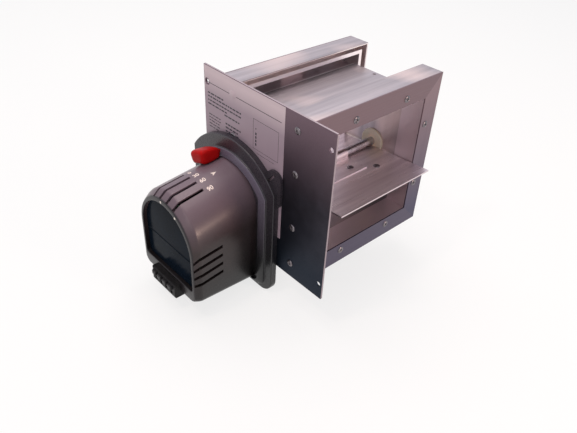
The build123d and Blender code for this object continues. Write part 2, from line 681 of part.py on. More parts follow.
def terminal_block():
    """Push-in wire terminals in the housing's lower lip."""
    block = slab(rect(*TERM_Y, *TERM_Z), *TERM_D)
    block = chamfer(block.edges().group_by(Axis.X)[0], 0.8)
    for k in range(BUTTONS):
        y = button_y(k)
        w, h = BUTTON_W / 2 + GAP, BUTTON_H / 2 + GAP
        pocket = rect(y - w, y + w, BUTTON_Z - h, BUTTON_Z + h)
        block -= slab(pocket, TERM_D[1] - BUTTON_L - 2, TERM_D[1] + 1)
        block -= slab(disc(y, WIRE_Z, 1.6), TERM_D[1] - 12, TERM_D[1] + 1)
    save(block, "terminal_block")


def terminal_buttons():
    """One push button above each wire hole."""
    for k in range(BUTTONS):
        y = button_y(k)
        w, h = BUTTON_W / 2, BUTTON_H / 2
        front = TERM_D[1] + BUTTON_OUT
        button = slab(rect(y - w, y + w, BUTTON_Z - h, BUTTON_Z + h), front - BUTTON_L, front)
        button = fillet(button.edges().group_by(Axis.X)[0], 0.8)
        save(button, f"terminal_button_{k + 1}")


def main():
    """Write every node."""
    os.makedirs("parts", exist_ok=True)
    frame_members()
    corner_keys()
    flange_rivets()
    mounting_plate()
    plate_rivets()
    data_label()
    blade_shaft()
    blade()
    shaft_saddle()
    blade_rivets()
    bearings()
    base_pan()
    base_cover()
    screws()
    release_latch()
    gears()
    gear_axles()
    motor_mount()
    motor()
    circuit_board()
    housing()
    front_panel()
    status_lenses()
    terminal_block()
    terminal_buttons()


main()
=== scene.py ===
"""Dresses the frame of a slide-in volume control damper with a plug-on actuator."""
from math import cos, pi, radians, sin

import bpy
import numpy as np
from bpy.props import FloatProperty, FloatVectorProperty, PointerProperty
from mathutils import Matrix, Vector


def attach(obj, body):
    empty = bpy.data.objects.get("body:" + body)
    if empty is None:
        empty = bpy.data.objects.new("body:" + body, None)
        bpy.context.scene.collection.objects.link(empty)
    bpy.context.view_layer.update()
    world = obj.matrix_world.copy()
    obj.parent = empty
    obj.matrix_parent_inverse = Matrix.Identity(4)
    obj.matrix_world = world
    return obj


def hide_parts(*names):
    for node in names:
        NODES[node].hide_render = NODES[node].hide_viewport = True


bl_info = {
    "name": "Volume control damper",
    "version": (1, 0, 0),
    "blender": (4, 5, 0),
    "location": "View3D > Sidebar > Damper",
    "description": "Rounded mouldings, rivets, print and finishes for a slide-in duct damper",
    "category": "Object",
}

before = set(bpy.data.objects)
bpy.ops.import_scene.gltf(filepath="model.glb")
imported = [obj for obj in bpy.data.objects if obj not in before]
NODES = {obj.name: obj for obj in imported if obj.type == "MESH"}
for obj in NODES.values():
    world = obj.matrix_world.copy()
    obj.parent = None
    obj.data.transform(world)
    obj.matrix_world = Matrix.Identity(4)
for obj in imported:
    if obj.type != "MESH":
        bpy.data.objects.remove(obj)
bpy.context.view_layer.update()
MM = 0.001
PLATE_T = 1.5                    # the mounting plate, whose inner face is at X = 0
SHARP = 40                       # a smooth piece shows an edge above this angle, in degrees


def hex_linear(text):
    """Turn an sRGB hex value such as #8f8a92 into linear red, green and blue."""
    srgb = np.array([int(text[i:i + 2], 16) for i in (1, 3, 5)]) / 255
    linear = np.where(srgb <= 0.04045, srgb / 12.92, ((srgb + 0.055) / 1.055) ** 2.4)
    return tuple(float(v) for v in linear)


# ---- what a user may change ----------------------------------------------------------------
def length(name, description, default):
    """A length in millimetres, shown as a distance."""
    return FloatProperty(name=name, description=description, default=default * MM, min=0.0,
                         unit="LENGTH", subtype="DISTANCE", precision=5)


def colour(name, description, default):
    """A colour given as sRGB hex."""
    return FloatVectorProperty(name=name, description=description, default=hex_linear(default),
                               subtype="COLOR", size=3, min=0.0, max=1.0)


class DamperSizes(bpy.types.PropertyGroup):
    """Sizes of the rounded mouldings, rivets and print."""
    wall: length("Housing wall", "Thickness of the moulded housing", 2.0)
    shoulder: length("Shoulder round", "Length of the round between side and nose", 1.5)
    nose: length("Nose round", "Length of the round at the front rim", 1.5)
    dome: length("Panel dome", "Rise of the front panel in its middle", 0.7)
    collar_round: length("Collar round", "Round on the collar's top edges", 0.9)
    rim_round: length("Rim round", "Round on the base's top edge", 0.8)
    rivet_head: length("Rivet head radius", "Radius of a blind rivet's ring head", 3.2)
    rivet_rise: length("Rivet head height", "Height of a blind rivet's ring head", 0.9)
    ink: length("Ink thickness", "Thickness of the print on label and housing", 0.04)


class DamperColours(bpy.types.PropertyGroup):
    """Main colours of the finishes."""
    aluminium: colour("Aluminium", "Extruded frame", "#a79ea2")
    sheet: colour("Steel sheet", "Mounting plate", "#3d3a42")
    film: colour("Label film", "Satin label", "#9a8994")
    charcoal: colour("Charcoal plastic", "Actuator mouldings", "#3c3132")
    panel: colour("Smoked panel", "Front panel", "#0b141e")
    latch: colour("Latch red", "Release latch", "#b01313")
    nylon: colour("Nylon", "Shaft bearings", "#f2dcc2")


# ---- meshes --------------------------------------------------------------------------------
def grid_faces(rows, columns, closed=False, drop=None):
    """Quads of a rows by columns grid of points; closed joins the last column to the first.

    drop marks the cells that stay open.
    """
    cells = columns if closed else columns - 1
    i, j = np.meshgrid(np.arange(rows - 1), np.arange(cells), indexing="ij")
    k = (j + 1) % columns
    quads = np.stack([i * columns + j, i * columns + k, (i + 1) * columns + k,
                      (i + 1) * columns + j], axis=-1)
    if drop is not None:
        quads = quads[~drop]
    return quads.reshape(-1, 4)


def make_piece(name, points, faces, body, finish, smooth=True):
    """A piece from points in millimetres; it rides on a body and takes a finish."""
    mesh = bpy.data.meshes.new(name)
    mesh.from_pydata((np.asarray(points).reshape(-1, 3) * MM).tolist(), [],
                     [[int(i) for i in face] for face in faces])
    if smooth:
        mesh.validate()
        mesh.polygons.foreach_set("use_smooth", np.ones(len(mesh.polygons), dtype=bool))
        mesh.set_sharp_from_angle(angle=radians(SHARP))
    mesh.update()
    piece = bpy.data.objects.new(name, mesh)
    bpy.context.scene.collection.objects.link(piece)
    mesh.materials.append(get_finish(finish))
    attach(piece, body)
    return piece


def add_modifier(piece, kind, **settings):
    """Add one modifier with its settings."""
    modifier = piece.modifiers.new(kind.title(), kind)
    for key, value in settings.items():
        setattr(modifier, key, value)


def weld(piece):
    """Join the points that fall together where a turned or bent shape closes."""
    add_modifier(piece, "WELD", merge_threshold=0.004 * MM)


def at(d):
    """X in millimetres of a plane that lies d in front of the plate's outer face."""
    return -PLATE_T - d


def outline(rings, marks, side_share, foot_share, tail=5, bend=5):
    """Arch-shaped closed outlines, one row per ring (d, y, z, r, half, low, corner).

    An arc of radius r about (y, z), y + r sin a and z + r cos a, runs up to where the
    straight sides at y - half and y + half cut it; the sides go down to a flat foot at
    low, with quarter circles of radius corner between. marks are fixed angles on the
    arc; side_share and foot_share divide the side and the foot from 0 to 1.
    """
    d, y, z, r, half, low, corner = (v[:, None] for v in rings.T)
    marks = np.broadcast_to(marks, (len(rings), len(marks)))
    side_share = np.broadcast_to(side_share, (len(rings), np.shape(side_share)[-1]))
    foot_share = np.broadcast_to(foot_share, (len(rings), np.shape(foot_share)[-1]))
    reach = np.degrees(np.arcsin(np.minimum(half / r, 1.0)))
    tails = marks[:, -1:] + (reach - marks[:, -1:]) * np.arange(1, tail + 1) / tail
    angle = np.radians(np.concatenate([-tails[:, ::-1], marks, tails], axis=1))
    arc_y, arc_z = y + r * np.sin(angle), z + r * np.cos(angle)
    join, floor = arc_z[:, -1:], low + corner
    side_z = join + (floor - join) * side_share
    turn = np.linspace(0, pi / 2, bend + 1)
    bend_y, bend_z = half - corner + corner * np.cos(turn), floor - corner * np.sin(turn)
    foot_y = (half - corner) * (1 - 2 * foot_share)
    ys = [arc_y, y + half + 0 * side_z, y + bend_y, y + foot_y,
          y - bend_y[:, ::-1], y - half + 0 * side_z]
    zs = [arc_z, side_z, bend_z, low + 0 * foot_y, bend_z[:, ::-1], side_z[:, ::-1]]
    ys, zs = np.concatenate(ys, axis=1), np.concatenate(zs, axis=1)
    return np.stack([at(d) + 0 * ys, ys, zs], axis=-1)


def rounded(before, corner, after, steps):
    """Quadratic Bezier between two rings round a corner ring: (1-t)^2 b + 2t(1-t) c + t^2 a."""
    t = np.linspace(0, 1, steps + 1)[:, None]
    return (1 - t) ** 2 * before + 2 * t * (1 - t) * corner + t ** 2 * after


def toward(a, b, distance):
    """The ring that lies a distance from ring a on the way to ring b."""
    gap = np.abs(b - a).max()
    return a + (b - a) * distance / gap


# ---- housing -------------------------------------------------------------------------------
# each ring is (d, y, z, r, half, low, corner), as outline() takes it
COVER_D = 5.9                    # the base cover's flat face
REAR = np.array([COVER_D, 36.0, -30.0, 36.5, 36.5, -103.0, 6.0])
SHOULDER = np.array([70.0, 32.2, -38.7, 39.5, 39.5, -92.3, 6.5])
NOSE = np.array([76.0, 33.2, -43.8, 38.2, 38.2, -90.8, 6.5])
RIM = np.array([76.0, 33.5, -45.0, 35.6, 35.6, -79.5, 3.0])
FLOOR = np.array([70.5, 33.5, -45.0, 35.6, 35.6, -79.5, 3.0])
PLAIN_MARKS = [-60, -50, -40, -30, -14, 0, 14, 30, 40, 50, 60]
VENT_ANGLES = np.array([-21.0, -7.0, 7.0, 21.0])
VENT_HALF = 2.03                 # half a top vent, in degrees on the arc
SIDE_VENTS = np.array([-43.0, -52.0, -61.0, -70.0])
SIDE_HALF = 1.6                  # half a side vent's height
VENT_START, VENT_END = 45.5, 75.3    # the vents run on through the nose
ARC_TAIL, BEND = 5, 5            # steps from the last mark to the side, and round a corner
MOUTH_Y = (15.7, 52.3)           # the terminal opening's ends
MOUTH_LINES = (43.0, 34.0, 25.0)
MOUTH_D = 59.7                   # it starts here in the underside
MOUTH_TOP = -82.2                # and reaches this high in the front ledge


def housing_rings(sizes):
    """Rings from the base to the floor of the panel's recess, rounded at three corners."""
    shoulder, nose = sizes.shoulder / MM, sizes.nose / MM
    straight = [12.0, 20.0, 30.0, 38.0, VENT_START, 52.0, MOUTH_D, 64.0]
    wall = [REAR + (SHOULDER - REAR) * (d - REAR[0]) / (SHOULDER[0] - REAR[0]) for d in straight]
    bend = rounded(toward(SHOULDER, REAR, shoulder), SHOULDER, toward(SHOULDER, NOSE, shoulder), 6)
    front = rounded(toward(NOSE, SHOULDER, nose), NOSE, toward(NOSE, RIM, 1.1), 5)
    lip = rounded(toward(RIM, NOSE, 0.5), RIM, toward(RIM, FLOOR, 0.5), 4)
    ledge = NOSE + (RIM - NOSE) * (MOUTH_TOP - NOSE[5]) / (RIM[5] - NOSE[5])
    return np.vstack([REAR, wall, bend, front, ledge, lip, FLOOR])


def housing_points(sizes):
    """Points of the housing's outer face, and the cells left open for vents and terminals."""
    rings = housing_rings(sizes)
    edges = np.concatenate([VENT_ANGLES - VENT_HALF, VENT_ANGLES, VENT_ANGLES + VENT_HALF])
    marks = np.sort(np.concatenate([edges, PLAIN_MARKS]))
    lines = np.sort(np.concatenate([SIDE_VENTS + SIDE_HALF, SIDE_VENTS - SIDE_HALF]))[::-1]
    join, floor = rings[:, 2:3], rings[:, 5:6] + rings[:, 6:7]
    share = (join - lines) / (join - floor)
    first = np.argmax(rings[:, 0] > SHOULDER[0] + 0.5)
    share[first:] = share[first - 1]
    reach = rings[:, 4:5] - rings[:, 6:7]
    cuts = np.array([60.0, MOUTH_Y[1], *MOUTH_LINES, MOUTH_Y[0], 8.0])
    foot = (rings[:, 1:2] + reach - cuts) / (2 * reach)
    points = outline(rings, marks, share, foot, ARC_TAIL, BEND)
    arc, straight = 2 * ARC_TAIL + len(marks), len(lines)
    far = arc + straight + len(cuts) + 2 * (BEND + 1)
    top = ARC_TAIL + np.searchsorted(marks, VENT_ANGLES - VENT_HALF - 0.01)
    pair = np.arange(0, straight, 2)
    columns = np.concatenate([top, top + 1, arc + pair, far + pair])
    end = np.argmax(rings[:, 0] >= VENT_END)
    drop = np.zeros((points.shape[0] - 1, points.shape[1]), dtype=bool)
    drop[np.argmax(rings[:, 0] >= VENT_START):end, columns] = True
    opening = arc + straight + BEND + 2 + np.arange(len(MOUTH_LINES) + 1)
    first = np.argmax(rings[:, 0] >= MOUTH_D)
    last = np.argmax(rings[:, 5] >= MOUTH_TOP - 0.01)
    drop[first:last, opening] = True
    return points, drop


class DAMPER_OT_housing(bpy.types.Operator):
    """Moulded actuator housing: arch-shaped rings carried from the base to the nose."""
    bl_idname = "damper.housing"
    bl_label = "Actuator housing"

    def execute(self, context):
        sizes = context.scene.damper_sizes
        points, drop = housing_points(sizes)
        faces = grid_faces(points.shape[0], points.shape[1], closed=True, drop=drop)
        piece = make_piece("housing_shell", points, faces, "damper_body",
                           "moulded_charcoal")
        add_modifier(piece, "SOLIDIFY", thickness=sizes.wall, offset=-1.0)
        add_modifier(piece, "BEVEL", width=0.3 * MM, segments=2, limit_method="ANGLE",
                     angle_limit=radians(50), harden_normals=True)
        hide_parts("housing")
        return {"FINISHED"}


# ---- front panel ---------------------------------------------------------------------------
PANEL_D = 72.2                   # its edge
PANEL_GAP = 0.15                 # round it, inside the rim
PANEL_T = 1.6
PANEL_LINES = [-57.0, -63.0, -69.0, -73.0]
DOME_Z, DOME_HALF = -46, 39      # middle and half height of the dome
RIB_Z, RIB_RISE, RIB_WIDTH, RIB_STEP = -51.5, 0.4, 0.55, 0.3


class DAMPER_OT_front_panel(bpy.types.Operator):
    """Smoked front panel: a shallow dome with one fine rib across it.

    The dome is h (1 - u^2)(1 - v^4), with u across and v along it from -1 to 1, and the
    rib adds k exp(-(z/w)^2) about its own height.
    """
    bl_idname = "damper.front_panel"
    bl_label = "Front panel"

    def execute(self, context):
        sizes = context.scene.damper_sizes
        centre, radius = RIM[2], RIM[3] - PANEL_GAP
        low, corner = RIM[5] + PANEL_GAP, RIM[6]
        arc = centre + radius * np.cos(np.linspace(0.02, pi / 2, 18))
        near = RIB_Z + np.arange(-6, 7) * RIB_STEP
        side = np.concatenate([near[::-1], PANEL_LINES, [low + corner]])
        foot = low + corner - corner * np.sin(np.linspace(0.3, pi / 2, 5))
        z = np.concatenate([arc, side, foot])[:, None]
        up = np.maximum(z - centre, 0.0)
        down = np.maximum(low + corner - z, 0.0)
        width = np.sqrt(radius ** 2 - up ** 2) - corner + np.sqrt(corner ** 2 - down ** 2)
        width = np.maximum(width, 0.4)
        v = np.sin(np.linspace(-pi / 2, pi / 2, 25))[None, :]
        y = RIM[1] + width * v
        across, along = (y - RIM[1]) / radius, (z - DOME_Z) / DOME_HALF
        rise = sizes.dome / MM * (1 - across ** 2) * (1 - along ** 4)
        rib = RIB_RISE * np.exp(-((z - RIB_Z) / RIB_WIDTH) ** 2)
        d = PANEL_D + np.maximum(rise, 0.0) + rib
        points = np.stack([at(d), y, z + 0 * y], axis=-1)
        faces = grid_faces(points.shape[0], points.shape[1])
        piece = make_piece("panel_window", points, faces, "damper_body",
                           "smoked_window")
        add_modifier(piece, "SOLIDIFY", thickness=PANEL_T * MM, offset=-1.0)
        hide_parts("front_panel")
        return {"FINISHED"}


# ---- turned pieces -------------------------------------------------------------------------
def turned(r, h, spots, axes, segments=28):
    """Profiles (r, h) turned about each axis n at each spot: r cos t u + r sin t v + h n."""
    n = np.asarray(axes, float)
    r, h = np.asarray(r, float), np.broadcast_to(h, (len(n), len(r)))
    seed = np.where(np.abs(n[:, :1]) > 0.8, [[0.0, 0.0, 1.0]], [[1.0, 0.0, 0.0]])
    u = np.cross(seed, n)
    u /= np.linalg.norm(u, axis=1, keepdims=True)
    v = np.cross(n, u)
    t = np.linspace(0, 2 * pi, segments, endpoint=False)
    spin = np.cos(t)[None, :, None] * u[:, None, :] + np.sin(t)[None, :, None] * v[:, None, :]
    points = r[None, :, None, None] * spin[:, None] + h[:, :, None, None] * n[:, None, None, :]
    points = points + np.asarray(spots, float)[:, None, None, :]
    quads = grid_faces(len(r), segments, closed=True)[:, ::-1]
    faces = quads[None] + (np.arange(len(n)) * len(r) * segments)[:, None, None]
    return points, faces.reshape(-1, 4)


# ---- base cover and collar -----------------------------------------------------------------
BASE_Y, BASE_Z = 34.0, -41.0     # the centre of the base's arcs
BASE_EDGE = np.array([COVER_D, BASE_Y, BASE_Z, 68.0, 55.5, -110.0, 14.0])
COLLAR_OUT = np.array([COVER_D, BASE_Y, BASE_Z, 56.0, 46.5, -107.0, 10.0])
COLLAR_IN = np.array([COVER_D, BASE_Y, BASE_Z, 48.4, 38.6, -104.0, 6.5])
WELL = np.array([COVER_D, 36.0, -30.0, 33.0, 33.0, -99.0, 3.0])
SHAFT_HOLE = np.array([COVER_D, 25.68, -33.89, 4.6, 4.6, -38.6, 4.2])
EDGE_D = 4.45                    # the cover's edge ends here, over the pan
COLLAR_TOP = 8.6
COLLAR_FALL = 0.9                # the collar's top slopes down to its outside by this much
COVER_T = 1.3
COVER_TAIL = 3                   # steps from the last mark of the arc to the side
SLOT_ANGLES = (13.67, 41.33)     # the latch's slot, round the base's centre
SLOT_R = np.array([51.3, 54.7])
STANDOFFS = ((57.0, -22.0), (15.0, -76.0), (57.0, -80.0))
STANDOFF_R = [1.2, 1.2, 3.0, 3.0, 3.4]
STANDOFF_H = [-1.0, 5.1, 5.1, 0.4, -0.1]


def level(ring, d):
    """The same outline at another distance from the plate."""
    moved = ring.copy()
    moved[0] = d
    return moved


def inset(ring, by):
    """The outline moved in by a distance."""
    return ring + np.array([0, 0, 0, -by, -by, by, -by])


class DAMPER_OT_base_cover(bpy.types.Operator):
    """Base cover: a flat rim, a rounded collar and the housing's well, with standoffs."""
    bl_idname = "damper.base_cover"
    bl_label = "Base cover and collar"

    def execute(self, context):
        sizes = context.scene.damper_sizes
        rim, soft = sizes.rim_round / MM, sizes.collar_round / MM
        top_in = level(COLLAR_IN, COLLAR_TOP)
        top_out = level(COLLAR_OUT, COLLAR_TOP - COLLAR_FALL)
        across = (SLOT_R - COLLAR_IN[3]) / (COLLAR_OUT[3] - COLLAR_IN[3])
        slot_in, slot_out = top_in + (top_out - top_in) * across[:, None]
        rings = np.vstack([
            level(BASE_EDGE, EDGE_D),
            rounded(level(BASE_EDGE, COVER_D - rim), BASE_EDGE, inset(BASE_EDGE, rim), 5),
            inset(BASE_EDGE, 2.5),
            rounded(inset(COLLAR_OUT, -0.8), COLLAR_OUT, level(COLLAR_OUT, COVER_D + 0.8), 4),
            rounded(level(COLLAR_OUT, top_out[0] - soft), top_out, inset(top_out, soft), 5),
            slot_out,
            slot_in,
            rounded(inset(top_in, -0.7), top_in, level(COLLAR_IN, COLLAR_TOP - 0.7), 4),
            level(COLLAR_IN, COVER_D + 0.5),
            COLLAR_IN,
            WELL,
            SHAFT_HOLE])
        marks = np.sort(np.concatenate([np.arange(-44, 45, 4.0), SLOT_ANGLES]))
        points = outline(rings, marks, np.arange(1, 8) / 8, np.arange(1, 6) / 6,
                         tail=COVER_TAIL, bend=7)
        row = np.argmax((rings == slot_out).all(axis=1))
        drop = np.zeros((points.shape[0] - 1, points.shape[1]), dtype=bool)
        first, last = COVER_TAIL + np.searchsorted(marks, SLOT_ANGLES)
        drop[row, first:last] = True
        faces = grid_faces(points.shape[0], points.shape[1], closed=True, drop=drop)
        piece = make_piece("collar_cover", points, faces, "damper_body",
                           "satin_charcoal")
        add_modifier(piece, "SOLIDIFY", thickness=COVER_T * MM, offset=-1.0)
        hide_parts("base_cover")
        spots = [(at(COVER_D), y, z) for y, z in STANDOFFS]
        points, faces = turned(STANDOFF_R, STANDOFF_H, spots, [(-1, 0, 0)] * len(spots))
        make_piece("cover_standoffs", points, faces, "damper_body",
                   "satin_charcoal")
        return {"FINISHED"}


# ---- release latch -------------------------------------------------------------------------
GRIP = dict(back=(48.0, 57.6), front=(45.8, 59.4), depths=(8.9, 28.5), angles=(11.5, 32.0),
            power=3.6)
FOOT = dict(back=(51.6, 54.4), front=(51.6, 54.4), depths=(2.2, 10.5), angles=(14.0, 31.0),
            power=8.0)           # it stands in the cover's slot


def bent_block(back, front, depths, angles, power, rows=41, columns=48):
    """A superellipsoid bent round the base's centre, wider in front than at its back.

    The section is d = dm + hd s sgn(sin t)|sin t|^(2/n) and r = rm + hr s sgn(cos t)
    |cos t|^(2/n), where rm and hr run from those of back to those of front as d grows;
    s = (1 - |u|^7)^(1/7) closes both ends as the angle runs with u.
    """
    u = np.sin(np.linspace(-pi / 2, pi / 2, rows))[:, None]
    t = np.linspace(0, 2 * pi, columns, endpoint=False)[None, :]
    close = (1 - np.abs(u) ** 7) ** (1 / 7)
    shape_r = np.sign(np.cos(t)) * np.abs(np.cos(t)) ** (2 / power)
    shape_d = np.sign(np.sin(t)) * np.abs(np.sin(t)) ** (2 / power)
    d = sum(depths) / 2 + (depths[1] - depths[0]) / 2 * close * shape_d
    share = (d - depths[0]) / (depths[1] - depths[0])
    low, high = (back[k] + (front[k] - back[k]) * share for k in (0, 1))
    r = (low + high) / 2 + (high - low) / 2 * close * shape_r
    a = np.radians(sum(angles) / 2 + (angles[1] - angles[0]) / 2 * u)
    points = np.stack([at(d), BASE_Y + r * np.sin(a), BASE_Z + r * np.cos(a)], axis=-1)
    return points, grid_faces(rows, columns, closed=True)[:, ::-1]


class DAMPER_OT_latch(bpy.types.Operator):
    """Release latch: a crowned block bent round the collar, with its foot in the slot."""
    bl_idname = "damper.latch"
    bl_label = "Release latch"

    def execute(self, context):
        grip, faces = bent_block(**GRIP)
        foot, more = bent_block(**FOOT)
        points = np.concatenate([grip.reshape(-1, 3), foot.reshape(-1, 3)])
        faces = np.concatenate([faces, more + grip.shape[0] * grip.shape[1]])
        piece = make_piece("latch_grip", points, faces, "latch", "latch_red")
        weld(piece)
        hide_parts("release_latch")
        return {"FINISHED"}


# ---- rivets --------------------------------------------------------------------------------
FRAME_MID = 76                   # X of the frame's middle
FLANGE_FACE = 53.5               # the frame's end faces lie this far out along Y
FLANGE_RIVETS = (30.5, 63.8)     # along and out from the frame's middle
PLATE_RIVET_Y, PLATE_RIVET_Z = 38.5, (63.5, 25.7, -25.7, -63.5)
SHAFT = np.array([0, -3.0, -6.0])
TILT = -3.9                      # the blade's angle as stored, in degrees about X
STRAP_RIVETS = [(34, -19, -3), (34, 9.6, -3), (83, -19, -3), (83, 9.6, -3)]
TIP_RIVET = (104, -32, -4)       # through the blade alone


def rivet_points(spots, axes, grips, sizes):
    """Blind rivets: a ring head with a sunk mandrel in front and a crushed tail behind."""
    head, rise = sizes.rivet_head / MM, sizes.rivet_rise / MM
    curve = np.linspace(0, 1, 9)
    dome_r = 1.15 + (head - 1.15) * curve
    dome_h = rise * np.sqrt(np.maximum(1 - (curve * 0.97) ** 2.2, 0))
    r = np.concatenate([[0, 0.55, 0.95, 1.0], dome_r, [head, 1.6, 1.6, 2.1, 1.9, 1.3, 0]])
    h = np.concatenate([[0.28, 0.22, 0.1, rise - 0.12], dome_h, [0.0, 0.0]])
    tail = -np.asarray(grips, float)[:, None] + np.array([0.0, -0.2, -0.9, -1.4, -1.4])
    h = np.concatenate([np.broadcast_to(h, (len(tail), len(h))), tail], axis=1)
    return turned(r, h, spots, axes)


def on_shaft(points):
    """Turn points from the shaft's own frame to the blade's stored angle."""
    tilt = radians(TILT)
    x, y, z = np.asarray(points, float).T
    return np.stack([x, y * cos(tilt) - z * sin(tilt), y * sin(tilt) + z * cos(tilt)], axis=-1)


class DAMPER_OT_rivets(bpy.types.Operator):
    """Blind rivets with ring heads on the flanges, the plate and the blade."""
    bl_idname = "damper.rivets"
    bl_label = "Blind rivets"

    def execute(self, context):
        sizes = context.scene.damper_sizes
        s, t = FLANGE_RIVETS
        ring = [(s, t), (-s, t), (s, -t), (-s, -t), (t, s), (t, -s), (-t, s), (-t, -s)]
        flange = [(FRAME_MID + x, side * FLANGE_FACE, z) for side in (-1, 1) for x, z in ring]
        plate = [(at(0), side * PLATE_RIVET_Y, z) for side in (-1, 1) for z in PLATE_RIVET_Z]
        blade = on_shaft([*STRAP_RIVETS, TIP_RIVET]) + SHAFT
        groups = [("flange_rivet_heads", flange, [(0, np.sign(p[1]), 0) for p in flange],
                   [3.6] * 16, "damper_body", "flange_rivets"),
                  ("plate_rivet_heads", plate, [(-1, 0, 0)] * 8, [2.7] * 8, "damper_body",
                   "plate_rivets"),
                  ("blade_rivet_heads", blade, on_shaft([(0, 0, 1)] * 5), [2.2] * 4 + [1.2],
                   "blade_assembly", "blade_rivets")]
        for name, spots, axes, grips, body, node in groups:
            points, faces = rivet_points(spots, axes, grips, sizes)
            piece = make_piece(name, points, faces, body, "plated_rivet")
            weld(piece)
            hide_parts(node)
        return {"FINISHED"}


# ---- print ---------------------------------------------------------------------------------
LABEL_FACE = -1.65               # X of the label's face
PRINT_LEFT = 72.7                # where most printed lines start
RULE = (-21.0, PRINT_LEFT, 62.6, 63.1)
TEXT_LINES = ((PRINT_LEFT, 50.0, 53.0), (PRINT_LEFT, 26.8, 49.8), (PRINT_LEFT, 24.0, 46.3),
              (PRINT_LEFT, 44.0, 43.0), (50.0, 30.0, 40.2))
LEFT_LINES = (33.5, 30.6, 27.7, 24.8, 21.9)
RIGHT_LINES = (33.0, 29.6, 26.2, 22.8)
THIN_LINES = [(-18.4, 12.3, 53.0, 53.3), (-18.4, 12.3, 26.6, 26.9), (-18.4, -18.1, 26.6, 53.3),
              (12.0, 12.3, 26.6, 53.3), (-14.0, 7.5, 23.4, 23.7)]
TICKS = [(8.0, 9.6, z, z + 2.2) for z in (30.0, 33.2, 36.4, 39.6)] + [(8.4, 9.4, 44.6, 45.8)]
BLISTER = (38.5, 63.5)           # the label lies over one plate rivet here
BLISTER_R, BLISTER_RISE = 4.6, 1.05


def flat_boxes(rectangles, x_back, x_front):
    """Thin boxes from rows of (y0, y1, z0, z1), between two X planes."""
    y0, y1, z0, z1 = np.asarray(rectangles, float).T
    corner_y = np.stack([y0, y1, y1, y0], axis=1)
    corner_z = np.stack([z0, z0, z1, z1], axis=1)
    layers = [np.stack([np.full_like(corner_y, x), corner_y, corner_z], axis=-1)
              for x in (x_back, x_front)]
    points = np.concatenate(layers, axis=1)
    box = np.array([(0, 1, 2, 3), (7, 6, 5, 4), (0, 4, 5, 1), (1, 5, 6, 2), (2, 6, 7, 3),
                    (3, 7, 4, 0)])
    faces = box[None] + (np.arange(len(y0)) * 8)[:, None, None]
    return points, faces.reshape(-1, 4)


def dashes(y_left, y_right, z, height, seed):
    """A line of short bars that stands for one printed line, from y_left down to y_right."""
    rng = np.random.default_rng(seed)
    widths = rng.uniform(1.6, 5.0, 40)
    gaps = np.full(40, 0.9)
    start = y_left - np.cumsum(widths + gaps) + widths + gaps
    bars = np.stack([start - widths, start, np.full(40, z), np.full(40, z + height)], axis=1)
    return bars[bars[:, 0] >= y_right]


class DAMPER_OT_label_print(bpy.types.Operator):
    """Plain print on the label: a rule, lines of short bars, thin lines and ticks.

    Over one rivet the label bulges by h (1 - (r/R)^2)^1.5.
    """
    bl_idname = "damper.label_print"
    bl_label = "Label print"

    def execute(self, context):
        ink = context.scene.damper_sizes.ink / MM
        text = [dashes(*line, 1.3, 1 + k) for k, line in enumerate(TEXT_LINES)]
        left = [dashes(72.0, 54.0, z, 0.9, 10 + k) for k, z in enumerate(LEFT_LINES)]
        right = [dashes(48.7, 28.0, z, 1.5, 20 + k) for k, z in enumerate(RIGHT_LINES)]
        bars = np.vstack([RULE, *text, *left, *right, THIN_LINES, TICKS])
        points, faces = flat_boxes(bars, LABEL_FACE, LABEL_FACE - ink)
        make_piece("label_ink", points, faces, "damper_body", "black_ink")
        r = np.linspace(0.0, BLISTER_R, 12)
        h = BLISTER_RISE * (1 - (r / BLISTER_R) ** 2) ** 1.5 - 0.01
        points, faces = turned(r, h, [(LABEL_FACE, *BLISTER)], [(-1, 0, 0)], 40)
        piece = make_piece("label_blister", points, faces, "damper_body",
                           "satin_film")
        weld(piece)
        return {"FINISHED"}


INK_LIFT = 0.02                  # the marks' underside stands this far off the housing
MARK_SIZE = 5.6
# each figure with its distance d and its angle on the arc, and the pointer's place
FIGURES = (("90", 39.6, -24.5), ("60", 40.0, -9.0), ("30", 40.4, 4.5), ("0", 40.8, 18.0))
POINTER = np.array([(-2.2, -2.0, 0.02), (2.4, 0.0, 0.02), (-2.2, 2.0, 0.02)])
POINTER_PLACE = (27.5, -7.8)


def wrap_on_housing(flat, d, angle):
    """Lay flat points on the housing: x runs towards the plate and y round the arc.

    The depth is d - x, the angle is angle + y / r, and the ring at that depth gives
    y + r sin a and z + r cos a.
    """
    depth = d - flat[:, 0]
    share = ((depth - REAR[0]) / (SHOULDER[0] - REAR[0]))[:, None]
    ring = REAR + (SHOULDER - REAR) * share
    r = ring[:, 3] + INK_LIFT + flat[:, 2]
    a = np.radians(angle) + flat[:, 1] / ring[:, 3]
    return np.stack([at(depth), ring[:, 1] + r * np.sin(a), ring[:, 2] + r * np.cos(a)], axis=-1)


def text_mesh(body, size):
    """Points and faces of a word in the plane, made a mesh before it is placed."""
    curve = bpy.data.curves.new("figure", "FONT")
    curve.body = body
    curve.size = size
    curve.align_x, curve.align_y = "CENTER", "CENTER"
    curve.offset = 0.02 * size
    curve.extrude = 0.02
    holder = bpy.data.objects.new("figure", curve)
    mesh = bpy.data.meshes.new_from_object(holder)
    points = np.empty(len(mesh.vertices) * 3)
    mesh.vertices.foreach_get("co", points)
    faces = [tuple(face.vertices) for face in mesh.polygons]
    bpy.data.objects.remove(holder)
    bpy.data.curves.remove(curve)
    bpy.data.meshes.remove(mesh)
    return points.reshape(-1, 3), faces


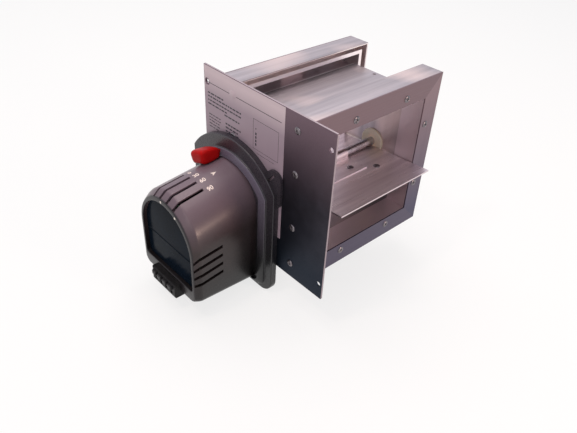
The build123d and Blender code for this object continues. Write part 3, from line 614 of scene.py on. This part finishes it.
class DAMPER_OT_marks(bpy.types.Operator):
    """White marks on the housing: a pointer and plain angles at the rear of the vents."""
    bl_idname = "damper.marks"
    bl_label = "Housing marks"

    def execute(self, context):
        shapes = [(*text_mesh(body, MARK_SIZE), (d, angle)) for body, d, angle in FIGURES]
        shapes.append((POINTER, [(0, 1, 2)], POINTER_PLACE))
        points, faces, start = [], [], 0
        for flat, loops, place in shapes:
            points.append(wrap_on_housing(flat, *place))
            faces += [[i + start for i in loop] for loop in loops]
            start += len(flat)
        make_piece("housing_marks", np.vstack(points), faces, "damper_body",
                   "white_ink", smooth=False)
        return {"FINISHED"}


# ---- finishes ------------------------------------------------------------------------------
FAR = 300                        # beyond every piece, for masks that are open on one side


def add_node(tree, kind, settings=None, values=None, links=None):
    """Add one node with its settings, its socket values and its links."""
    node = tree.nodes.new(kind)
    for key, value in (settings or {}).items():
        setattr(node, key, value)
    for key, value in (values or {}).items():
        node.inputs[key].default_value = value
    for key, socket in (links or {}).items():
        tree.links.new(socket, node.inputs[key])
    return node


def grain(tree, size, detail=2.0, kind="ShaderNodeTexNoise", settings=None):
    """A pattern on Object coordinates with features of a size in millimetres.

    The size is one number, or three for X, Y and Z.
    """
    place = add_node(tree, "ShaderNodeTexCoord").outputs["Object"]
    scale = tuple(1000 / float(s) for s in np.broadcast_to(size, 3))
    place = add_node(tree, "ShaderNodeMapping", values={"Scale": scale}, links={"Vector": place})
    values = {"Scale": 1.0}
    if kind == "ShaderNodeTexNoise":
        values["Detail"] = detail
    return add_node(tree, kind, settings, values, {"Vector": place.outputs[0]}).outputs[0]


def spread(tree, source, low, high, start=0.3, end=0.7):
    """Spread a pattern between two values."""
    values = {1: start, 2: end, 3: low, 4: high}
    return add_node(tree, "ShaderNodeMapRange", values=values, links={0: source}).outputs[0]


def mixed(tree, share, first, second):
    """Mix two colours, or a socket and a colour, by a share."""
    values, links = {}, {0: share}
    for key, item in ((6, first), (7, second)):
        if isinstance(item, tuple):
            values[key] = (*item, 1.0)
        else:
            links[key] = item
    return add_node(tree, "ShaderNodeMix", {"data_type": "RGBA"}, values, links).outputs[2]


def beyond(tree, axis, centre, half, blur):
    """1 where the distance along an axis from centre is more than half, in millimetres.

    A blur below zero turns the mask round: 1 where that distance is less than half.
    """
    place = add_node(tree, "ShaderNodeTexCoord").outputs["Object"]
    along = add_node(tree, "ShaderNodeSeparateXYZ", links={0: place}).outputs[axis]
    off = add_node(tree, "ShaderNodeMath", {"operation": "SUBTRACT"}, {1: centre * MM}, {0: along})
    far = add_node(tree, "ShaderNodeMath", {"operation": "ABSOLUTE"}, links={0: off.outputs[0]})
    values = {1: (half - abs(blur)) * MM, 2: (half + abs(blur)) * MM}
    if blur < 0:
        values |= {3: 1.0, 4: 0.0}
    return add_node(tree, "ShaderNodeMapRange", values=values, links={0: far.outputs[0]}).outputs[0]


def over(axis, level, blur):
    """A mask that holds where the coordinate is above a level, in millimetres."""
    return axis, -FAR, FAR + level, blur


def under(axis, level, blur):
    """A mask that holds where the coordinate is below a level, in millimetres."""
    return axis, FAR, FAR - level, blur


def new_finish(name, tones, mottle, rough, fine, relief, zones=(), cloud=None, **sockets):
    """A Principled material: two tones by a mottle, roughness and relief by a fine grain.

    A tone is sRGB hex or linear red, green and blue. mottle and fine are sizes of grain.
    The highlight patches are a size and a hex: broad soft patches of that colour, painted
    highlights. zones are (masks, hex): where all the masks (axis, centre, half, blur) hold, the
    colour is hex; here most zones paint light and shade. Everything in sockets is set straight
    on the shader.
    """
    material = bpy.data.materials.new(name)
    material.use_nodes = True
    tree = material.node_tree
    shader = tree.nodes["Principled BSDF"]
    tones = [hex_linear(tone) if isinstance(tone, str) else tone for tone in tones]
    tone = mixed(tree, spread(tree, grain(tree, mottle), 0.0, 1.0), *tones)
    if cloud:
        patches = spread(tree, grain(tree, cloud[0], 1.0), 0.0, 0.75, 0.46, 0.66)
        tone = mixed(tree, patches, tone, hex_linear(cloud[1]))
    for masks, tint in zones:
        share = beyond(tree, *masks[0])
        for mask in masks[1:]:
            share = add_node(tree, "ShaderNodeMath", {"operation": "MULTIPLY"},
                             links={0: share, 1: beyond(tree, *mask)}).outputs[0]
        tone = mixed(tree, share, tone, hex_linear(tint))
    tree.links.new(tone, shader.inputs["Base Color"])
    fine_grain = grain(tree, fine, 3.0)
    tree.links.new(spread(tree, fine_grain, *rough), shader.inputs["Roughness"])
    bump = add_node(tree, "ShaderNodeBump", values={"Strength": 0.6, "Distance": relief * MM},
                    links={"Height": fine_grain})
    tree.links.new(bump.outputs[0], shader.inputs["Normal"])
    for key, value in sockets.items():
        shader.inputs[key.replace("_", " ").title().replace("Ior", "IOR")].default_value = value
    return material


def shade(rgb, factor):
    """A colour made lighter or darker."""
    return tuple(min(v * factor, 1.0) for v in rgb)


def build_finish(name):
    """Every finish by name; the comments say what each gives the eye."""
    colours = bpy.context.scene.damper_colours
    alu, sheet, film, charcoal, panel, latch, nylon = (
        tuple(getattr(colours, key)) for key in ("aluminium", "sheet", "film", "charcoal",
                                                 "panel", "latch", "nylon"))
    # painted light and shade on the frame: the end flanges painted darker, a painted reflection,
    # and darker still towards the foot, a painted shade, those of the upright members a touch
    # lighter; the faces of the recess and of the duct's inside painted pale, painted light
    # foot holds towards the frame's foot, where the flanges are painted darker: painted shade
    end, foot = (1, 0, 52.4, 0.15), under(2, 0, 62)
    # the mounting plate's cut edges are painted pale: a painted highlight
    edge_highlight = "#a3959a"
    ends = [((end,), "#7c686d"), ((end, foot), "#585162")]
    sides = [((end,), "#8b767b"), ((end, foot), "#4f4b60")]
    # the recess's chamber and the duct's inside are painted pale below: painted light where the
    # channels lie in shade
    chamber = (1, 0, 31.2, 0.1)
    light_and_shade_x = [((chamber, (2, 0, 75.5, -0.1)), "#fbf1f2"),
              (((2, 0, 58.3, -0.1),), "#d9c9cc")] + ends
    light_and_shade_z = [((chamber, (0, 76, 75.5, -0.1)), "#fbf1f2"),
              (((0, 76, 58.3, -0.1),), "#d9c9cc")] + sides
    specs = {
        # extruded aluminium, mill finish: soft sheen with long die lines along X, and broad pale
        # patches, painted highlights
        "mill_extrusion_x": dict(tones=(shade(alu, 0.82), shade(alu, 1.1)), mottle=(160, 5, 5),
                                 rough=(0.3, 0.46), fine=(60, 0.7, 0.7), relief=0.02,
                                 zones=light_and_shade_x, cloud=((70, 42, 42), "#dcc6c1"), metallic=1.0),
        # the same for the members that stand upright: die lines along Z, with the same painted
        # highlights
        "mill_extrusion_z": dict(tones=(shade(alu, 0.82), shade(alu, 1.1)), mottle=(5, 5, 160),
                                 rough=(0.3, 0.46), fine=(0.7, 0.7, 60), relief=0.02,
                                 zones=light_and_shade_z, cloud=((42, 42, 70), "#dcc6c1"), metallic=1.0),
        # galvanised sheet, skin passed: broad soft spangle; the top painted lighter and the foot
        # painted darker, a painted reflection, and the cut edges painted pale, a painted highlight
        "galvanised_sheet": dict(tones=(shade(sheet, 0.8), shade(sheet, 1.15)), mottle=14,
                                 rough=(0.34, 0.5), fine=0.9, relief=0.01,
                                 zones=[((over(2, 40, 34),), "#736069"),
                                        ((under(2, -30, 30),), "#1f2734"),
                                        (((1, 0, 77.35, 0.1),), edge_highlight),
                                        (((2, 0, 77.35, 0.1),), edge_highlight)], metallic=1.0),
        # rolled aluminium sheet: fine lines along the rolling direction
        "rolled_aluminium": dict(tones=("#d2c4c8", "#eee2e4"), mottle=(120, 6, 6),
                                 rough=(0.26, 0.42), fine=(50, 0.6, 0.6), relief=0.012,
                                 metallic=1.0),
        # zinc plated rivet: bright, slightly uneven plating
        "plated_rivet": dict(tones=("#5c565a", "#8b8487"), mottle=1.5, rough=(0.2, 0.36), fine=0.4,
                             relief=0.01, metallic=1.0),
        # plated steel pressing
        "plated_pressing": dict(tones=("#77757a", "#929095"), mottle=9, rough=(0.32, 0.48),
                                fine=0.8, relief=0.01, metallic=1.0),
        # satin polyester film: smooth, faintly orange-peeled; its top strip painted lighter, a
        # painted highlight
        "satin_film": dict(tones=(shade(film, 0.96), shade(film, 1.03)), mottle=30,
                           rough=(0.34, 0.42), fine=1.6, relief=0.004,
                           zones=[((over(2, 62, 10),), "#cbbabf")], ior=1.5),
        # matt black printing ink
        "black_ink": dict(tones=("#26222b", "#332e38"), mottle=3, rough=(0.5, 0.6), fine=0.5,
                          relief=0.002),
        # matt printing ink, a warm white
        "white_ink": dict(tones=("#e9d9d0", "#f3e7df"), mottle=2, rough=(0.5, 0.6), fine=0.5,
                          relief=0.002),
        # ground steel shaft: bright, with turned lines round it
        "ground_shaft": dict(tones=("#aaa6ab", "#c4c0c4"), mottle=(1.5, 30, 30), rough=(0.2, 0.32),
                             fine=(0.35, 20, 20), relief=0.006, metallic=1.0),
        # natural nylon: waxy cream that lets a little light in
        "natural_nylon": dict(tones=(shade(nylon, 0.92), nylon), mottle=6, rough=(0.36, 0.46),
                              fine=0.8, relief=0.006, subsurface_weight=0.15, ior=1.53),
        # glass filled moulding, spark-eroded texture: charcoal with a satin sheen; the top painted
        # lighter, painted light, the lower part painted darker, painted shade, and the front rim
        # darker
        "moulded_charcoal": dict(tones=(shade(charcoal, 0.88), shade(charcoal, 1.14)),
                                 mottle=(26, 18, 18), rough=(0.26, 0.36), fine=0.55,
                                 relief=0.02, zones=[((over(2, -15, 22),), "#70606a"),
                                                     ((under(2, -50, 40),), "#0f0d0e"),
                                                     ((under(0, -76.6, 0.5),), "#211d20")],
                                 ior=1.52, specular_ior_level=0.34),
        # the same moulding with a finer, shinier skin on the base; the collar's top painted
        # lighter, painted light, and the lower part painted darker, painted shade
        "satin_charcoal": dict(tones=("#2f2b31", "#38343b"),
                               mottle=(26, 18, 18), rough=(0.24, 0.34), fine=0.55,
                               relief=0.01, zones=[((under(0, -8.6, 0.2),), "#645d6c"),
                                                     ((under(2, -35, 40),), "#17171a")],
                               ior=1.52, specular_ior_level=0.4),
        # smoked polycarbonate window: deep, wet-looking and almost black
        "smoked_window": dict(tones=(shade(panel, 0.8), shade(panel, 1.3)), mottle=22,
                              rough=(0.16, 0.22), fine=6, relief=0.001, ior=1.58,
                              specular_ior_level=0.015),
        # acetal in signal red: hard, smooth, small soft highlights
        "latch_red": dict(tones=(shade(latch, 0.9), latch), mottle=5, rough=(0.3, 0.4), fine=0.7,
                          relief=0.012, ior=1.48, specular_ior_level=0.05),
        # black terminal moulding
        "terminal_black": dict(tones=("#171617", "#211f20"), mottle=5, rough=(0.4, 0.52), fine=0.5,
                               relief=0.02, ior=1.5, specular_ior_level=0.15),
        # the push buttons: the same black, a little smoother
        "button_black": dict(tones=("#222123", "#2d2b2d"), mottle=3, rough=(0.3, 0.4), fine=0.5,
                             relief=0.01, ior=1.5, specular_ior_level=0.25),
        # clear light pipe, pale and glossy
        "light_pipe": dict(tones=("#c9c2b8", "#efe8dc"), mottle=1, rough=(0.1, 0.16), fine=0.5,
                           relief=0.002, ior=1.49, coat_weight=0.6),
        # natural acetal gears: off-white and slightly greasy
        "natural_acetal": dict(tones=("#cfccc0", "#e2dfd3"), mottle=4, rough=(0.3, 0.4), fine=0.6,
                               relief=0.006, ior=1.48),
        # hobbed brass
        "cut_brass": dict(tones=("#b08a3e", "#d1ac5b"), mottle=2, rough=(0.2, 0.3),
                          fine=(0.2, 3, 3), relief=0.008, metallic=1.0),
        # drawn steel can, passivated: warm grey
        "drawn_can": dict(tones=("#96928c", "#b3afa8"), mottle=(20, 4, 4), rough=(0.24, 0.36),
                          fine=(12, 0.5, 0.5), relief=0.008, metallic=1.0),
        # solder mask over glass laminate
        "green_laminate": dict(tones=("#1d4a2c", "#2a6a3e"), mottle=2, rough=(0.26, 0.36),
                               fine=0.9, relief=0.02, ior=1.5),
    }
    return new_finish(name, **specs[name])


def get_finish(name):
    """The material of that name, made once."""
    return bpy.data.materials.get(name) or build_finish(name)


NODE_FINISH = {
    "frame_top": "mill_extrusion_x", "frame_bottom": "mill_extrusion_x",
    "frame_left": "mill_extrusion_z", "frame_right": "mill_extrusion_z",
    "corner_keys": "plated_pressing", "mounting_plate": "galvanised_sheet",
    "data_label": "satin_film", "blade_shaft": "ground_shaft", "blade": "rolled_aluminium",
    "shaft_saddle": "rolled_aluminium", "bearing_far": "natural_nylon",
    "bearing_near": "natural_nylon", "base_pan": "satin_charcoal",
    "base_screws": "plated_rivet", "cover_screws": "plated_rivet", "motor_screws": "plated_rivet",
    "drive_gear": "natural_acetal", "idler_gear": "natural_acetal",
    "reduction_gear": "natural_acetal", "motor_pinion": "cut_brass", "gear_axles": "ground_shaft",
    "motor_mount": "plated_pressing", "motor": "drawn_can", "circuit_board": "green_laminate",
    "status_lenses": "light_pipe", "terminal_block": "terminal_black",
    "terminal_button_1": "button_black", "terminal_button_2": "button_black",
    "terminal_button_3": "button_black", "terminal_button_4": "button_black",
}


class DAMPER_OT_finishes(bpy.types.Operator):
    """Finishes for the pieces that keep their CAD shape."""
    bl_idname = "damper.finishes"
    bl_label = "Finishes of the kept pieces"

    def execute(self, context):
        for node, finish in NODE_FINISH.items():
            for slot in NODES[node].material_slots:
                slot.material = get_finish(finish)
        return {"FINISHED"}


# ---- stage ---------------------------------------------------------------------------------
CAMERA_PLACE = (-0.26988, -0.31167, 0.26792)
CAMERA_TURN, CAMERA_DOWN, CAMERA_ROLL = 0.803, 0.635, 0.055      # in radians
CAMERA_LENS, CAMERA_SENSOR = 36.786, 36.0
FLOOR_Z, FLOOR_HALF = -0.1101, 6.0
# name, place, aim, size, power and tint of each lamp
LAMPS = (("over", (0.25, 0.35, 1.3), (0.05, 0.0, 0.0), 1.3, 15.5, "#fff4ee"),
         ("side", (-0.9, -0.5, 0.7), (0.0, 0.0, -0.02), 0.7, 2.2, "#fff0ea"),
         ("warm", (0.34, -0.98, 0.21), (-0.04, 0.0, -0.02), 0.2, 4.2, "#ffd9c4"),
         ("edge", (-0.55, 0.1, 1.05), (-0.02, 0.02, 0.0), 0.14, 2.4, "#ffeade"))


def camera_matrix():
    """The camera's place and axes: right, up and backwards, rolled a little."""
    ahead = Vector((cos(CAMERA_DOWN) * cos(CAMERA_TURN), cos(CAMERA_DOWN) * sin(CAMERA_TURN),
                    -sin(CAMERA_DOWN)))
    right = Vector((sin(CAMERA_TURN), -cos(CAMERA_TURN), 0.0))
    up = right.cross(ahead)
    side = right * cos(CAMERA_ROLL) + up * sin(CAMERA_ROLL)
    top = up * cos(CAMERA_ROLL) - right * sin(CAMERA_ROLL)
    turn = Matrix((side, top, -ahead)).transposed().to_4x4()
    return Matrix.Translation(CAMERA_PLACE) @ turn


def area_lamp(name, place, aim, size, power, tint):
    """A square soft lamp that points at a place."""
    data = bpy.data.lights.new(name, "AREA")
    data.shape, data.size, data.energy = "SQUARE", size, power
    data.color = hex_linear(tint)
    lamp = bpy.data.objects.new(name, data)
    lamp.location = place
    lamp.rotation_euler = (Vector(aim) - Vector(place)).to_track_quat("-Z", "Y").to_euler()
    bpy.context.scene.collection.objects.link(lamp)


def seen_rays(tree):
    """1 for rays from the camera, a gloss or a clear piece."""
    path = add_node(tree, "ShaderNodeLightPath").outputs
    total = path["Is Camera Ray"]
    for name in ("Is Glossy Ray", "Is Transmission Ray"):
        total = add_node(tree, "ShaderNodeMath", {"operation": "MAXIMUM"},
                         links={0: total, 1: path[name]}).outputs[0]
    return total


def make_floor(scene):
    """A wide pale floor that glows for the rays that see it."""
    mesh = bpy.data.meshes.new("floor")
    corners = np.array([(-1, -1), (1, -1), (1, 1), (-1, 1)]) * FLOOR_HALF
    mesh.from_pydata([(x, y, FLOOR_Z) for x, y in corners], [], [(0, 1, 2, 3)])
    floor = bpy.data.objects.new("floor", mesh)
    scene.collection.objects.link(floor)
    # matt pale grey paper, part of it lit from within
    material = bpy.data.materials.new("pale_floor")
    material.use_nodes = True
    tree = material.node_tree
    matt = tree.nodes["Principled BSDF"]
    matt.inputs["Base Color"].default_value = (0.86, 0.86, 0.86, 1.0)
    matt.inputs["Roughness"].default_value = 0.9
    glow = add_node(tree, "ShaderNodeEmission", values={"Strength": 1.0})
    share = add_node(tree, "ShaderNodeMath", {"operation": "MULTIPLY"}, {1: 0.75},
                     {0: seen_rays(tree)})
    mix = add_node(tree, "ShaderNodeMixShader",
                   links={0: share.outputs[0], 1: matt.outputs[0], 2: glow.outputs[0]})
    tree.links.new(mix.outputs[0], tree.nodes["Material Output"].inputs["Surface"])
    mesh.materials.append(material)


def make_world(scene):
    """A faintly blue sky: dim as a light, and white where it is seen."""
    world = bpy.data.worlds.new("studio")
    world.use_nodes = True
    tree = world.node_tree
    back = tree.nodes["Background"]
    back.inputs["Color"].default_value = (0.9, 0.92, 1.0, 1.0)
    strength = spread(tree, seen_rays(tree), 0.42, 1.0, 0.0, 1.0)
    tree.links.new(strength, back.inputs["Strength"])
    scene.world = world


def make_camera(scene):
    """The camera that looks at the actuator's corner from above."""
    data = bpy.data.cameras.new("camera")
    data.sensor_width, data.lens = CAMERA_SENSOR, CAMERA_LENS
    data.clip_start = 0.01
    camera = bpy.data.objects.new("camera", data)
    camera.matrix_world = camera_matrix()
    scene.collection.objects.link(camera)
    scene.camera = camera


class DAMPER_OT_stage(bpy.types.Operator):
    """Pale floor, soft studio light and the camera."""
    bl_idname = "damper.stage"
    bl_label = "Floor, light and camera"

    def execute(self, context):
        scene = context.scene
        scene.view_settings.view_transform = "Standard"
        make_floor(scene)
        make_world(scene)
        for lamp in LAMPS:
            area_lamp(*lamp)
        make_camera(scene)
        return {"FINISHED"}


# ---- add-on --------------------------------------------------------------------------------
OPERATORS = (DAMPER_OT_stage, DAMPER_OT_finishes, DAMPER_OT_housing, DAMPER_OT_front_panel,
             DAMPER_OT_base_cover, DAMPER_OT_latch, DAMPER_OT_rivets, DAMPER_OT_label_print,
             DAMPER_OT_marks)


class DAMPER_PT_panel(bpy.types.Panel):
    """Lists the pieces, their sizes and their colours."""
    bl_label = "Volume control damper"
    bl_idname = "DAMPER_PT_panel"
    bl_space_type = "VIEW_3D"
    bl_region_type = "UI"
    bl_category = "Damper"

    def draw(self, context):
        layout = self.layout
        for operator in OPERATORS:
            layout.operator(operator.bl_idname)
        for group in (context.scene.damper_sizes, context.scene.damper_colours):
            box = layout.box()
            for key in group.__annotations__:
                box.prop(group, key)


CLASSES = (DamperSizes, DamperColours, *OPERATORS, DAMPER_PT_panel)


def register():
    """Register the classes and hang the sizes and colours on the scene."""
    for item in CLASSES:
        bpy.utils.register_class(item)
    bpy.types.Scene.damper_sizes = PointerProperty(type=DamperSizes)
    bpy.types.Scene.damper_colours = PointerProperty(type=DamperColours)


def unregister():
    """Undo what register does."""
    del bpy.types.Scene.damper_colours
    del bpy.types.Scene.damper_sizes
    for item in reversed(CLASSES):
        bpy.utils.unregister_class(item)


def main():
    """Register the classes, then run every operator in turn."""
    register()
    for operator in OPERATORS:
        group, name = operator.bl_idname.split(".")
        getattr(getattr(bpy.ops, group), name)()


if __name__ == "__main__":
    main()
